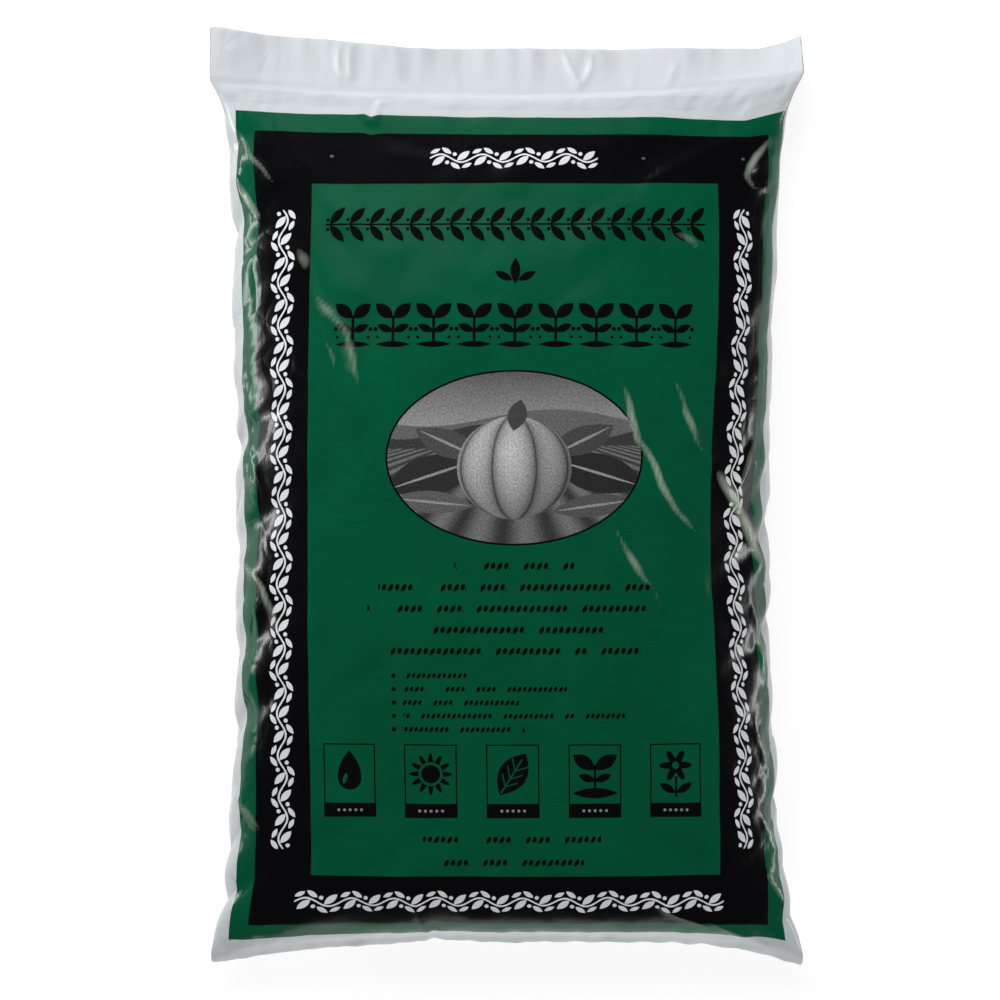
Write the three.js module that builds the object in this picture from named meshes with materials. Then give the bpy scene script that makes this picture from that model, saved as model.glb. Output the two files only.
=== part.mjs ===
// A sealed 30 litre pillow bag of garden compost, lying on its back with its printed face up.
// It is a tube of heavy white polyethylene film, heat sealed across both ends. The full part bulges, the
// sealed ends stay flat, and the film that is left over at the sides gathers into puckers.
// Millimetres, +Z up, +Y towards the loose header of film beyond the top seal. The origin is on the floor,
// under the middle of the bag's overall length and width.
import * as THREE from "three";

// The flat film, before it is filled. Along the film, distances are counted from the foot seal, and across
// it from its middle line.
const FILM_WIDTH = 450; // the tube pressed flat, from side fold to side fold
const BODY_FILM = 670; // between the two heat seals
const HEADER_FILM = 42; // loose double film beyond the top seal
const FOOT_FILM = 12; // loose double film beyond the foot seal
const SEALED_THICKNESS = 0.6; // two layers of 0.15 mm film with the air that lies between them

// The filled form.
const BELLY_HEIGHT = 111; // crown above the floor at the fullest station
const BELLY_STATION = 340; // how far up the film that station is
const FOOT_SEAL_HEIGHT = 34;
const HEAD_SEAL_HEIGHT = 42;
const FOOT_DOME = 2.3; // powers of the dome from the belly down to each seal: the foot is packed fuller
const HEAD_DOME = 2;
const FOOT_ROLL = 22; // height of the steep roll of film just inside each seal
const HEAD_ROLL = 9;
const FOOT_ROLL_FILM = 60; // film that the roll takes
const HEAD_ROLL_FILM = 30;
const HEEL_FILM = 112; // film over which the back comes down from a seal to the floor
const SETTLE = 6; // how far the rounded back is pressed flat by its own weight
const SLUMP = 3; // how far the full part has slipped to the left of its seals
const WIDEST_AT = 0.42; // height of the widest line, as a share of the section's height
const FACE_ROUNDNESS = 2.4; // superellipse powers of the section above and below the widest line
const BACK_ROUNDNESS = 3;

// The ears: each seal keeps the film's full width, so its ends stand out past the bulging body.
const EAR_REACH = { left: 10, right: 16 }; // how far an end of the top seal lies beyond its middle
const FOOT_EAR_REACH = 13;
const EAR_FILM = 18; // film over which that reach dies away
const EAR_POWER = 2.2;
const HEAD_TUCK = 8; // width that the crumpled corners take away on each side below the top seal
const FOOT_TUCK = 1.8;
const TUCK_FILM = 30; // distance from the seal at which the tuck is deepest

// The loose header: it droops from the seal, more on the right, and is rippled across its width.
const HEADER_DROOP = { left: 6, right: 44 }; // degrees below level
const FOOT_DROOP = 50;
const RIPPLES = [
  { pitch: 118, height: 1.8, phase: 0.4 },
  { pitch: 67, height: 1.1, phase: 2.1 },
];

// Puckers: valleys that run in from each side fold, where the side is shorter than the film.
const PUCKER_PITCH = 47;
const PUCKER_DEPTH = 4.6;
const PUCKER_HALF_WIDTH = 11;
const PUCKER_FILL = 0.25; // how far the film between the valleys swells, as a share of their depth
const PUCKER_REACH = 62; // how far over the face a pucker runs
const PUCKER_LEAN = { left: 0.55, right: -0.75 }; // film along the bag for each unit across it
const PUCKER_SCATTER = 0.3; // how irregular the spacing is, as a share of the pitch
const PUCKER_UNEVEN = 0.35; // how much their depths differ, as a share of the deepest
const PUCKER_PHASE = { left: 0.7, right: 2.9 }; // sets the two sides apart
const PUCKER_PLACE_TURN = 2.4; // radians from one pucker to the next in the waves that scatter them
const PUCKER_DEPTH_TURN = 1.7;

// Creases: the long ridges of slack film on the face. Each has the places of its two ends, across the
// film and up from the belly's station, and its height.
const CREASE_HALF_WIDTH = 13;
const CREASES = [
  { from: [54, 130], to: [138, -12], height: 3.4 },
  { from: [112, 112], to: [196, -54], height: 5.0 },
  { from: [66, 0], to: [112, -70], height: 3.0 },
  { from: [-154, 172], to: [-106, 86], height: 3.2 },
  { from: [-206, -30], to: [-168, -98], height: 4.0 },
  { from: [-212, -210], to: [-180, -254], height: 3.6 },
  { from: [104, -284], to: [208, -328], height: 3.6 },
];

// The print on the face: a green field, a black border inside it, a green panel inside that, and a grey
// oval on the panel's middle line.
const MARGIN_LEFT = 22; // bare film beside the field, more on the left where the web ran in the press
const MARGIN_RIGHT = 6;
const MARGIN_FOOT = 12;
const MARGIN_HEAD = 22;
const FIELD_BAND = 15; // green outside the border
const BORDER_BAND = 43;
const OVAL_WIDTH = 186;
const OVAL_HEIGHT = 126;
const OVAL_DROP = 207; // from the panel's upper edge to the oval's middle

// Longest panels of the mesh, whose lines follow the edges of the print.
const EDGE_PANEL = 8;
const BORDER_PANEL = 11;
const FACE_PANEL_ACROSS = 16;
const FACE_PANEL_ALONG = 12;

// How finely the form is worked out.
const SECTION_STEPS = 160;
const WIDTH_TRIALS = 24;
const GROUND_STEP = 2;
const STEEPEST_SHARE = 1 / 3; // level that the steepest film still covers, as a share of its length

const INKS = {
  film: new THREE.Color(0xdfe2e5),
  green: new THREE.Color(0x04563a),
  black: new THREE.Color(0x0b0b0d),
  grey: new THREE.Color(0x77777a),
};

// Places that the print and the mesh share.
const FOLD = FILM_WIDTH / 2;
const FIELD = {
  left: MARGIN_LEFT - FOLD,
  right: FOLD - MARGIN_RIGHT,
  foot: MARGIN_FOOT,
  head: BODY_FILM - MARGIN_HEAD,
};
const PANEL_INSET = FIELD_BAND + BORDER_BAND;
const OVAL = {
  across: (FIELD.left + FIELD.right) / 2,
  along: FIELD.head - PANEL_INSET - OVAL_DROP,
};

const clamp = (x, low, high) => Math.min(Math.max(x, low), high);
const mix = (a, b, share) => a + (b - a) * share;
const bump = (x) => Math.exp(-x * x);

// How far a rise has come after some of its film: a steep start that rounds over into level.
const rise = (distance, film) => 1 - (1 - clamp(distance / film, 0, 1)) ** 2;

// The height of the face and of the back on the bag's middle line, at one distance along the film.
function profile(along) {
  const towardsHead = along > BELLY_STATION;
  const span = towardsHead ? BODY_FILM - BELLY_STATION : BELLY_STATION;
  const sealHeight = towardsHead ? HEAD_SEAL_HEIGHT : FOOT_SEAL_HEIGHT;
  const roll = towardsHead ? HEAD_ROLL : FOOT_ROLL;
  const rollFilm = towardsHead ? HEAD_ROLL_FILM : FOOT_ROLL_FILM;
  const taper = Math.abs((along - BELLY_STATION) / span) ** (towardsHead ? HEAD_DOME : FOOT_DOME);
  const toSeal = Math.min(along, BODY_FILM - along);
  const half = SEALED_THICKNESS / 2;
  return {
    face: mix(BELLY_HEIGHT - roll, sealHeight + half, taper) + roll * rise(toSeal, rollFilm),
    back: mix(sealHeight - half, -SETTLE, rise(toSeal, HEEL_FILM)),
  };
}

// The right half of one cross-section as points from the middle of the back to the middle of the face,
// with their distances along the film. Whatever would lie below the floor is pressed flat on it.
function halfSection(width, { face, back }) {
  const widest = mix(back, face, WIDEST_AT);
  const points = [];
  for (let i = 0; i <= SECTION_STEPS; i++) {
    const angle = Math.PI * (i / SECTION_STEPS - 0.5);
    const upper = angle > 0;
    const power = 2 / (upper ? FACE_ROUNDNESS : BACK_ROUNDNESS);
    const reach = upper ? face - widest : widest - back;
    const x = width * Math.abs(Math.cos(angle)) ** power;
    const z = widest + Math.sign(angle) * reach * Math.abs(Math.sin(angle)) ** power;
    const previous = points[i - 1];
    const point = { x, z: Math.max(z, 0) };
    point.film = previous ? previous.film + Math.hypot(x - previous.x, point.z - previous.z) : 0;
    points.push(point);
  }
  return points;
}

// The cross-section at one station: the half width is found at which it uses up the whole film.
function section(along) {
  const heights = profile(along);
  let narrow = FILM_WIDTH / 4;
  let wide = FILM_WIDTH / 2;
  let points;
  for (let i = 0; i < WIDTH_TRIALS; i++) {
    const width = (narrow + wide) / 2;
    points = halfSection(width, heights);
    if (points[SECTION_STEPS].film < FILM_WIDTH) narrow = width;
    else wide = width;
  }
  return points;
}

// The point of a section that a film distance from the middle of the back reaches, and the way out there.
function pointAt(points, film) {
  let i = 1;
  while (i < SECTION_STEPS && points[i].film < film) i++;
  const [a, b] = [points[i - 1], points[i]];
  const length = b.film - a.film || 1;
  const share = clamp((film - a.film) / length, 0, 1);
  return {
    x: mix(a.x, b.x, share),
    z: mix(a.z, b.z, share),
    out: { x: (b.z - a.z) / length, z: -(b.x - a.x) / length },
  };
}

// How far along +Y from the foot seal each step of the film lies: film that climbs covers less ground.
const GROUND = [0];
for (let along = GROUND_STEP; along < BODY_FILM + GROUND_STEP; along += GROUND_STEP) {
  const climb = profile(Math.min(along, BODY_FILM)).face - profile(along - GROUND_STEP).face;
  const level = Math.sqrt(Math.max(GROUND_STEP ** 2 - climb ** 2, 0));
  GROUND.push(GROUND[GROUND.length - 1] + Math.max(level, GROUND_STEP * STEEPEST_SHARE));
}

function groundAt(along) {
  const step = Math.min(Math.floor(along / GROUND_STEP), GROUND.length - 2);
  return mix(GROUND[step], GROUND[step + 1], along / GROUND_STEP - step);
}

// The depth of the side puckers at one place on the film.
function puckers(across, along) {
  const side = across < 0 ? "left" : "right";
  const phase = PUCKER_PHASE[side];
  const fromFold = FOLD - Math.abs(across);
  let depth = 0;
  for (let i = 1; i < BODY_FILM / PUCKER_PITCH; i++) {
    const scatter = PUCKER_SCATTER * Math.sin(i * PUCKER_PLACE_TURN + phase);
    const centre = (i + scatter) * PUCKER_PITCH + PUCKER_LEAN[side] * fromFold;
    const strength = 1 - PUCKER_UNEVEN * (1 - Math.sin(i * PUCKER_DEPTH_TURN + phase));
    depth += strength * bump((along - centre) / PUCKER_HALF_WIDTH);
  }
  const nearSeal = rise(Math.min(along, BODY_FILM - along), HEEL_FILM);
  return PUCKER_DEPTH * (depth - PUCKER_FILL) * bump(fromFold / PUCKER_REACH) * nearSeal;
}

// The height of the long creases at one place on the face.
function creases(across, along) {
  let height = 0;
  for (const { from, to, height: top } of CREASES) {
    const run = [to[0] - from[0], to[1] - from[1]];
    const length = Math.hypot(...run);
    const offset = [across - from[0], along - BELLY_STATION - from[1]];
    const share = (offset[0] * run[0] + offset[1] * run[1]) / length ** 2;
    const aside = (offset[0] * run[1] - offset[1] * run[0]) / length;
    const ends = Math.sin(Math.PI * clamp(share, 0, 1));
    height += top * ends * bump(aside / CREASE_HALF_WIDTH);
  }
  return height;
}

// How far an end of a seal lies beyond the seal's middle, at one place on the film.
function earReach(across, along) {
  const outwards = Math.abs(across / FOLD) ** EAR_POWER;
  const head = across < 0 ? EAR_REACH.left : EAR_REACH.right;
  const atHead = head * Math.exp(-(BODY_FILM - along) / EAR_FILM);
  const atFoot = FOOT_EAR_REACH * Math.exp(-along / EAR_FILM);
  return outwards * (atHead - atFoot);
}

// How far the crumpled corners draw in one place on the film.
function tuck(across, along) {
  const atHead = (BODY_FILM - along) / TUCK_FILM;
  const atFoot = along / TUCK_FILM;
  const depth = HEAD_TUCK * atHead * Math.exp(1 - atHead) + FOOT_TUCK * atFoot * Math.exp(1 - atFoot);
  return (across / FOLD) * depth;
}

// One point of the film between the seals.
function bodyPoint({ across, along, onFace }) {
  const film = onFace ? FILM_WIDTH - Math.abs(across) : Math.abs(across);
  const { x, z, out } = pointAt(section(along), film);
  const lift = onFace ? creases(across, along) : 0;
  const push = lift - (z > 0 ? puckers(across, along) : 0);
  const slump = SLUMP * Math.sin((Math.PI * along) / BODY_FILM);
  return new THREE.Vector3(
    Math.sign(across) * (x + out.x * push) - tuck(across, along) - slump,
    groundAt(along) + earReach(across, along),
    Math.max(z + out.z * push, 0),
  );
}

// One point of the loose film beyond a seal: it leaves the seal's end of the body and droops.
function flapPoint({ across, along, onFace }) {
  const atHead = along > BODY_FILM;
  const seal = atHead ? BODY_FILM : 0;
  const beyond = Math.abs(along - seal);
  const share = across / FILM_WIDTH + 0.5;
  const droop = atHead ? mix(HEADER_DROOP.left, HEADER_DROOP.right, share) : FOOT_DROOP;
  const angle = THREE.MathUtils.degToRad(droop);
  const ripple = RIPPLES.reduce(
    (sum, { pitch, height, phase }) => sum + height * Math.sin((2 * Math.PI * across) / pitch + phase),
    0,
  );
  const wave = atHead ? (ripple * beyond) / HEADER_FILM : 0;
  const onFold = Math.abs(across) >= FOLD;
  const layer = onFold ? 0 : (SEALED_THICKNESS / 2) * (onFace ? 1 : -1);
  const { face, back } = profile(seal);
  return new THREE.Vector3(
    across,
    groundAt(seal) + earReach(across, seal) + (atHead ? 1 : -1) * beyond * Math.cos(angle),
    (face + back) / 2 + layer + wave - beyond * Math.sin(angle),
  );
}

// Grid lines: evenly spaced from each edge to the next, no further apart than the panel given there.
function gridLines(start, ...spans) {
  const lines = [start];
  for (const { to, panel } of spans) {
    const from = lines[lines.length - 1];
    const count = Math.max(Math.ceil((to - from) / panel), 1);
    for (let i = 1; i <= count; i++) lines.push(mix(from, to, i / count));
  }
  return lines;
}

function linesAcross() {
  return gridLines(
    -FOLD,
    { to: FIELD.left, panel: EDGE_PANEL },
    { to: FIELD.left + FIELD_BAND, panel: EDGE_PANEL },
    { to: FIELD.left + PANEL_INSET, panel: BORDER_PANEL },
    { to: FIELD.right - PANEL_INSET, panel: FACE_PANEL_ACROSS },
    { to: FIELD.right - FIELD_BAND, panel: BORDER_PANEL },
    { to: FIELD.right, panel: EDGE_PANEL },
    { to: FOLD, panel: EDGE_PANEL },
  );
}

function linesAlong() {
  return gridLines(
    -FOOT_FILM,
    { to: 0, panel: EDGE_PANEL },
    { to: FIELD.foot, panel: EDGE_PANEL },
    { to: FIELD.foot + FIELD_BAND, panel: EDGE_PANEL },
    { to: FIELD.foot + PANEL_INSET, panel: BORDER_PANEL },
    { to: FIELD.head - PANEL_INSET, panel: FACE_PANEL_ALONG },
    { to: FIELD.head - FIELD_BAND, panel: BORDER_PANEL },
    { to: FIELD.head, panel: EDGE_PANEL },
    { to: BODY_FILM, panel: EDGE_PANEL },
    { to: BODY_FILM + HEADER_FILM, panel: BORDER_PANEL },
  );
}

// A place's distance from the oval's middle, as a share of the distance to its rim.
const ovalShare = (across, along) =>
  Math.hypot((across - OVAL.across) / (OVAL_WIDTH / 2), (along - OVAL.along) / (OVAL_HEIGHT / 2));

// A corner of the grid that is close to the oval's rim moves onto it, so that the rim is one clean line.
function onRim(corner) {
  const { across, along } = corner;
  const share = ovalShare(across, along);
  const away = Math.abs(1 - 1 / share) * Math.hypot(across - OVAL.across, along - OVAL.along);
  if (!corner.onFace || !(away < FACE_PANEL_ALONG / 2)) return corner;
  return {
    ...corner,
    across: mix(OVAL.across, across, 1 / share),
    along: mix(OVAL.along, along, 1 / share),
  };
}

// The film's rings from the foot's cut edge to the header's: each goes across the face from the left fold
// to the right one, then back under the bag.
function filmRings() {
  const columns = linesAcross();
  const around = [
    ...columns.map((across) => ({ across, onFace: true })),
    ...columns.slice(1, -1).reverse().map((across) => ({ across, onFace: false })),
  ];
  return linesAlong().map((along) =>
    around.map((place) => {
      const corner = onRim({ ...place, along });
      const loose = along < 0 || along > BODY_FILM;
      return { ...corner, at: loose ? flapPoint(corner) : bodyPoint(corner) };
    }),
  );
}

// The ink at one place on the film.
function ink(across, along, onFace) {
  const inset = Math.min(
    across - FIELD.left,
    FIELD.right - across,
    along - FIELD.foot,
    FIELD.head - along,
  );
  if (!onFace || inset < 0) return INKS.film;
  if (inset > FIELD_BAND && inset < PANEL_INSET) return INKS.black;
  return ovalShare(across, along) < 1 ? INKS.grey : INKS.green;
}

// The closed film as loose triangles, each with the ink of its own middle.
function filmGeometry() {
  const rings = filmRings();
  const count = rings[0].length;
  const columns = count / 2;
  const positions = [];
  const colours = [];
  const triangle = (...corners) => {
    const middle = (key) => corners.reduce((sum, corner) => sum + corner[key], 0) / 3;
    const onFace = corners.some((corner) => corner.onFace && Math.abs(corner.across) < FOLD);
    const colour = ink(middle("across"), middle("along"), onFace);
    for (const { at } of corners) {
      positions.push(at.x, at.y, at.z);
      colours.push(colour.r, colour.g, colour.b);
    }
  };
  for (let i = 1; i < rings.length; i++) {
    for (let k = 0; k < count; k++) {
      const [a, b] = [rings[i - 1][k], rings[i - 1][(k + 1) % count]];
      const [c, d] = [rings[i][(k + 1) % count], rings[i][k]];
      triangle(a, b, c);
      triangle(a, c, d);
    }
  }
  // The cut edges: a strip between the two layers, which meet at the side folds.
  const cutEdge = (ring, flip) => {
    for (let j = 0; j < columns; j++) {
      const [a, b] = [ring[j], ring[j + 1]];
      const [c, d] = [ring[(count - j - 1) % count], ring[(count - j) % count]];
      if (j > 0) triangle(...(flip ? [a, d, c] : [a, c, d]));
      if (j < columns - 1) triangle(...(flip ? [a, c, b] : [a, b, c]));
    }
  };
  cutEdge(rings[0], true);
  cutEdge(rings[rings.length - 1], false);
  return new THREE.BufferGeometry()
    .setAttribute("position", new THREE.Float32BufferAttribute(positions, 3))
    .setAttribute("color", new THREE.Float32BufferAttribute(colours, 3));
}

function compostBag() {
  const geometry = filmGeometry();
  geometry.computeVertexNormals();
  geometry.computeBoundingBox();
  const { min, max } = geometry.boundingBox;
  const material = new THREE.MeshStandardMaterial({
    color: 0xffffff,
    vertexColors: true,
    roughness: 0.3,
    metalness: 0,
  });
  const bag = new THREE.Mesh(geometry, material);
  bag.name = "compost_bag";
  bag.position.set(-(min.x + max.x) / 2, -(min.y + max.y) / 2, -min.z);
  return bag;
}

const model = new THREE.Group();
model.add(compostBag());

export default model;
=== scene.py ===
import bisect
import math

import bmesh
import bpy
import numpy as np
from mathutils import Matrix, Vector, noise


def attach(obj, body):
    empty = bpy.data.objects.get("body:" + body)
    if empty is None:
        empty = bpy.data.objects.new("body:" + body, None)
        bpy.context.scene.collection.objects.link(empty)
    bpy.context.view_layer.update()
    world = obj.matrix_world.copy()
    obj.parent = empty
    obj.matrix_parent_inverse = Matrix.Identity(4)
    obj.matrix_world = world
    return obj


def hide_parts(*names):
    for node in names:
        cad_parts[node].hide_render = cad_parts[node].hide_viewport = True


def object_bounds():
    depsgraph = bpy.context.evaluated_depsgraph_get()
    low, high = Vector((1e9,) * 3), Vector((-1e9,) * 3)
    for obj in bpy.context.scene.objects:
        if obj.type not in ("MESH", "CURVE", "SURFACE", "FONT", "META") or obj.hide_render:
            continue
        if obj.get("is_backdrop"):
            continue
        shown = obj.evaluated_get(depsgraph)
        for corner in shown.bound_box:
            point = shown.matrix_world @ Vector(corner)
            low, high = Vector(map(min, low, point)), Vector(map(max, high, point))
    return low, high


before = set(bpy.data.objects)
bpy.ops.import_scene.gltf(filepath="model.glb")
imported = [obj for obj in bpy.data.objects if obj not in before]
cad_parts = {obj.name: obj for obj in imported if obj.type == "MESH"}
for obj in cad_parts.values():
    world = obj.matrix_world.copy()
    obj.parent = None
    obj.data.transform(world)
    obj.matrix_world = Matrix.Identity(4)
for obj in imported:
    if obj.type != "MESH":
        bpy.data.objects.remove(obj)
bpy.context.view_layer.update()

MM = 0.001

# The film: one tube of heavy polyethylene, 450 mm wide when it is pressed flat, blown white and printed on
# its face. It is filled with compost and heat sealed across both ends, so that the body bulges, the seals
# stay straight and the film that is left over at the sides gathers. All lengths here are in millimetres.
FILM_WIDTH = 450
BODY_FILM = 670  # between the two heat seals
HEADER_FILM = 42  # loose double film beyond the top seal
FOOT_FILM = 12
SEALED_THICKNESS = 0.6
BELLY_HEIGHT = 111
BELLY_STATION = 340
FOOT_SEAL_HEIGHT = 34
HEAD_SEAL_HEIGHT = 42
FOOT_DOME = 2.3
HEAD_DOME = 2
FOOT_ROLL = 22
HEAD_ROLL = 9
FOOT_ROLL_FILM = 60
HEAD_ROLL_FILM = 30
HEEL_FILM = 112
SETTLE = 6
SLUMP = 3
WIDEST_AT = 0.42
FACE_ROUNDNESS = 2.4
BACK_ROUNDNESS = 3
LEFT_EAR_REACH = 10
RIGHT_EAR_REACH = 16
FOOT_EAR_REACH = 13
EAR_FILM = 18
EAR_POWER = 2.2
HEAD_TUCK = 8
FOOT_TUCK = 1.8
TUCK_FILM = 30
HEADER_DROOP_LEFT = 6  # degrees below level
HEADER_DROOP_RIGHT = 44
FOOT_DROOP = 50
CELLS_ACROSS = 86  # the film's mesh before it is subdivided
CELLS_ALONG = 139
SECTION_STEPS = 160
WIDTH_TRIALS = 24
GROUND_STEP = 2
FOLD = FILM_WIDTH / 2


def clamp(x, low, high):
    return min(max(x, low), high)


def mix(a, b, share):
    return a + (b - a) * share


def rise(distance, film):
    """How far a rise has come after some of its film: a steep start that rounds over into level."""
    return 1 - (1 - clamp(distance / film, 0, 1)) ** 2


def profile(along):
    """The heights of the face and of the back on the bag's middle line."""
    towards_head = along > BELLY_STATION
    span = BODY_FILM - BELLY_STATION if towards_head else BELLY_STATION
    seal_height = HEAD_SEAL_HEIGHT if towards_head else FOOT_SEAL_HEIGHT
    roll = HEAD_ROLL if towards_head else FOOT_ROLL
    roll_film = HEAD_ROLL_FILM if towards_head else FOOT_ROLL_FILM
    taper = abs((along - BELLY_STATION) / span) ** (HEAD_DOME if towards_head else FOOT_DOME)
    to_seal = min(along, BODY_FILM - along)
    half = SEALED_THICKNESS / 2
    face = mix(BELLY_HEIGHT - roll, seal_height + half, taper) + roll * rise(to_seal, roll_film)
    back = mix(seal_height - half, -SETTLE, rise(to_seal, HEEL_FILM))
    return face, back


def half_section(width, face, back):
    """Film distances and points of half a cross-section, from the middle of the back to that of the face."""
    widest = mix(back, face, WIDEST_AT)
    films, points = [], []
    for i in range(SECTION_STEPS + 1):
        angle = math.pi * (i / SECTION_STEPS - 0.5)
        power = 2 / (FACE_ROUNDNESS if angle > 0 else BACK_ROUNDNESS)
        reach = face - widest if angle > 0 else widest - back
        x = width * abs(math.cos(angle)) ** power
        z = max(widest + math.copysign(reach * abs(math.sin(angle)) ** power, angle), 0)
        films.append(films[-1] + math.hypot(x - points[-1][0], z - points[-1][1]) if points else 0)
        points.append((x, z))
    return films, points


def section(along):
    """The cross-section whose outline uses up the whole width of the film."""
    face, back = profile(along)
    narrow, wide = FILM_WIDTH / 4, FILM_WIDTH / 2
    for _ in range(WIDTH_TRIALS):
        width = (narrow + wide) / 2
        films, points = half_section(width, face, back)
        if films[-1] < FILM_WIDTH:
            narrow = width
        else:
            wide = width
    return films, points


ground = [0]
for step in range(GROUND_STEP, BODY_FILM + GROUND_STEP, GROUND_STEP):
    climb = profile(min(step, BODY_FILM))[0] - profile(step - GROUND_STEP)[0]
    level = math.sqrt(max(GROUND_STEP ** 2 - climb ** 2, 0))
    ground.append(ground[-1] + max(level, GROUND_STEP / 3))


def ground_at(along):
    step = min(int(along / GROUND_STEP), len(ground) - 2)
    return mix(ground[step], ground[step + 1], along / GROUND_STEP - step)


def ear_reach(across, along):
    """How far an end of a seal lies beyond the seal's middle."""
    reach = LEFT_EAR_REACH if across < 0 else RIGHT_EAR_REACH
    at_head = reach * math.exp(-(BODY_FILM - along) / EAR_FILM)
    at_foot = FOOT_EAR_REACH * math.exp(-along / EAR_FILM)
    return abs(across / FOLD) ** EAR_POWER * (at_head - at_foot)


def tuck(across, along):
    """How far the crumpled corners draw in."""
    at_head, at_foot = (BODY_FILM - along) / TUCK_FILM, along / TUCK_FILM
    depth = HEAD_TUCK * at_head * math.exp(1 - at_head) + FOOT_TUCK * at_foot * math.exp(1 - at_foot)
    return across / FOLD * depth


def body_point(across, along, on_face, outline):
    """One point of the film between the seals, smooth, as if the left-over film weighed nothing."""
    films, points = outline
    film = FILM_WIDTH - abs(across) if on_face else abs(across)
    i = clamp(bisect.bisect_left(films, film), 1, SECTION_STEPS)
    share = clamp((film - films[i - 1]) / max(films[i] - films[i - 1], 1e-9), 0, 1)
    x = mix(points[i - 1][0], points[i][0], share)
    z = mix(points[i - 1][1], points[i][1], share)
    slump = SLUMP * math.sin(math.pi * along / BODY_FILM)
    y = ground_at(along) + ear_reach(across, along)
    return Vector((math.copysign(x, across) - tuck(across, along) - slump, y, z))


def flap_point(across, along, on_face):
    """One point of the loose film beyond a seal: it goes on from the seal and droops."""
    at_head = along > BODY_FILM
    seal = BODY_FILM if at_head else 0
    beyond = abs(along - seal)
    droop = mix(HEADER_DROOP_LEFT, HEADER_DROOP_RIGHT, across / FILM_WIDTH + 0.5) if at_head else FOOT_DROOP
    angle = math.radians(droop)
    layer = 0 if abs(across) >= FOLD else SEALED_THICKNESS / 2 * (1 if on_face else -1)
    way = 1 if at_head else -1
    y = ground_at(seal) + ear_reach(across, seal) + way * beyond * math.cos(angle)
    return Vector((across, y, sum(profile(seal)) / 2 + layer - beyond * math.sin(angle)))


# The flat tube: a slab cut into a grid, whose two side faces are merged into the folds of the tube.
def edges_along(bm, axis):
    return [e for e in bm.edges if abs((e.verts[1].co - e.verts[0].co).normalized()[axis]) > 0.99]


film_length = FOOT_FILM + BODY_FILM + HEADER_FILM
bm = bmesh.new()
bmesh.ops.create_cube(bm, size=1)
bmesh.ops.scale(bm, vec=(FILM_WIDTH, film_length, SEALED_THICKNESS), verts=bm.verts)
bmesh.ops.translate(bm, vec=(0, film_length / 2 - FOOT_FILM, 0), verts=bm.verts)
bmesh.ops.subdivide_edges(bm, edges=edges_along(bm, 0), cuts=CELLS_ACROSS - 1, use_grid_fill=True)
bmesh.ops.subdivide_edges(bm, edges=edges_along(bm, 1), cuts=CELLS_ALONG - 1, use_grid_fill=True)
folds = [v for v in bm.verts if abs(v.co.x) > FOLD - 0.1]
bmesh.ops.remove_doubles(bm, verts=folds, dist=2 * SEALED_THICKNESS)

# The print follows the film through its own map, in metres of flat film: across from the middle of the face
# and on round the back from the right fold, and along from the foot seal.
film_map = bm.loops.layers.uv.new("film")
for face in bm.faces:
    on_back = face.normal.z < -0.5
    for loop in face.loops:
        x, y, _ = loop.vert.co
        loop[film_map].uv = ((FILM_WIDTH - x if on_back else x) * MM, y * MM)

flat = [v.co.copy() for v in bm.verts]
rows = {}
filled = []
for place in flat:
    across, along, on_face = place.x, place.y, place.z >= 0
    if 0 <= along <= BODY_FILM:
        key = round(along, 3)
        if key not in rows:
            rows[key] = section(along)
        filled.append(body_point(across, along, on_face, rows[key]))
    else:
        filled.append(flap_point(across, along, on_face))
ends = [point.y for point in filled]
middle = (min(ends) + max(ends)) / 2
filled = [Vector((p.x, p.y - middle, p.z)) * MM for p in filled]
for vert, place in zip(bm.verts, filled):
    vert.co = place

bag_mesh = bpy.data.meshes.new("compost_bag_film")
bm.to_mesh(bag_mesh)
bm.free()
bag_mesh.shade_smooth()
bag = bpy.data.objects.new("compost_bag_film", bag_mesh)
bpy.context.scene.collection.objects.link(bag)

# The gathers: film keeps the lengths that it has when flat, so what the filled form doesn't need buckles
# into soft folds. The folds start from faint waves that lean in from both sides, and are then worked out
# as cloth that hardly stretches or shrinks, held at the seals and where the bag rests on the floor.
SLACK = 1.05  # how much longer the film is than the smooth filled form
WAVE_PITCH = 47
WAVE_HALF_WIDTH = 11
WAVE_DEPTH = 4.5
WAVE_REACH = 62
WAVE_LEAN = (0.55, -0.75)  # along for each step away from the fold, left and right
WAVE_PHASE = (0.7, 2.9)
WAVE_LEVEL = -0.25  # the film between the waves, so that they don't widen the bag
TIGHT_FROM, TIGHT_FILM = 380, 90  # the upper right is drawn smooth from here on, over this much film
TIGHT_WAVES = 0.3
DENT_SIZE = 28
DENT_DEPTH = 1.8
BREATH = 1.5  # air pressure inside, in the cloth solver's own units
FILL_HOLD = 0.003  # how firmly the fill holds the loose film, against 1 at the seals
SETTLING_FRAMES = 20


def side_waves(across, along):
    """Depth of the waves that lean in from a side fold."""
    lean, phase = WAVE_LEAN[across >= 0], WAVE_PHASE[across >= 0]
    from_fold = FOLD - abs(across)
    depth = WAVE_LEVEL
    for i in range(1, int(BODY_FILM / WAVE_PITCH) + 1):
        centre = (i + 0.3 * math.sin(2.4 * i + phase)) * WAVE_PITCH + lean * from_fold
        size = 0.65 + 0.35 * math.sin(1.7 * i + phase)
        depth += size * math.exp(-((along - centre) / WAVE_HALF_WIDTH) ** 2)
    tight = clamp((along - TIGHT_FROM) / TIGHT_FILM, 0, 1) if across > 0 else 0
    return depth * math.exp(-(from_fold / WAVE_REACH) ** 2) * mix(1, TIGHT_WAVES, tight)


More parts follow.
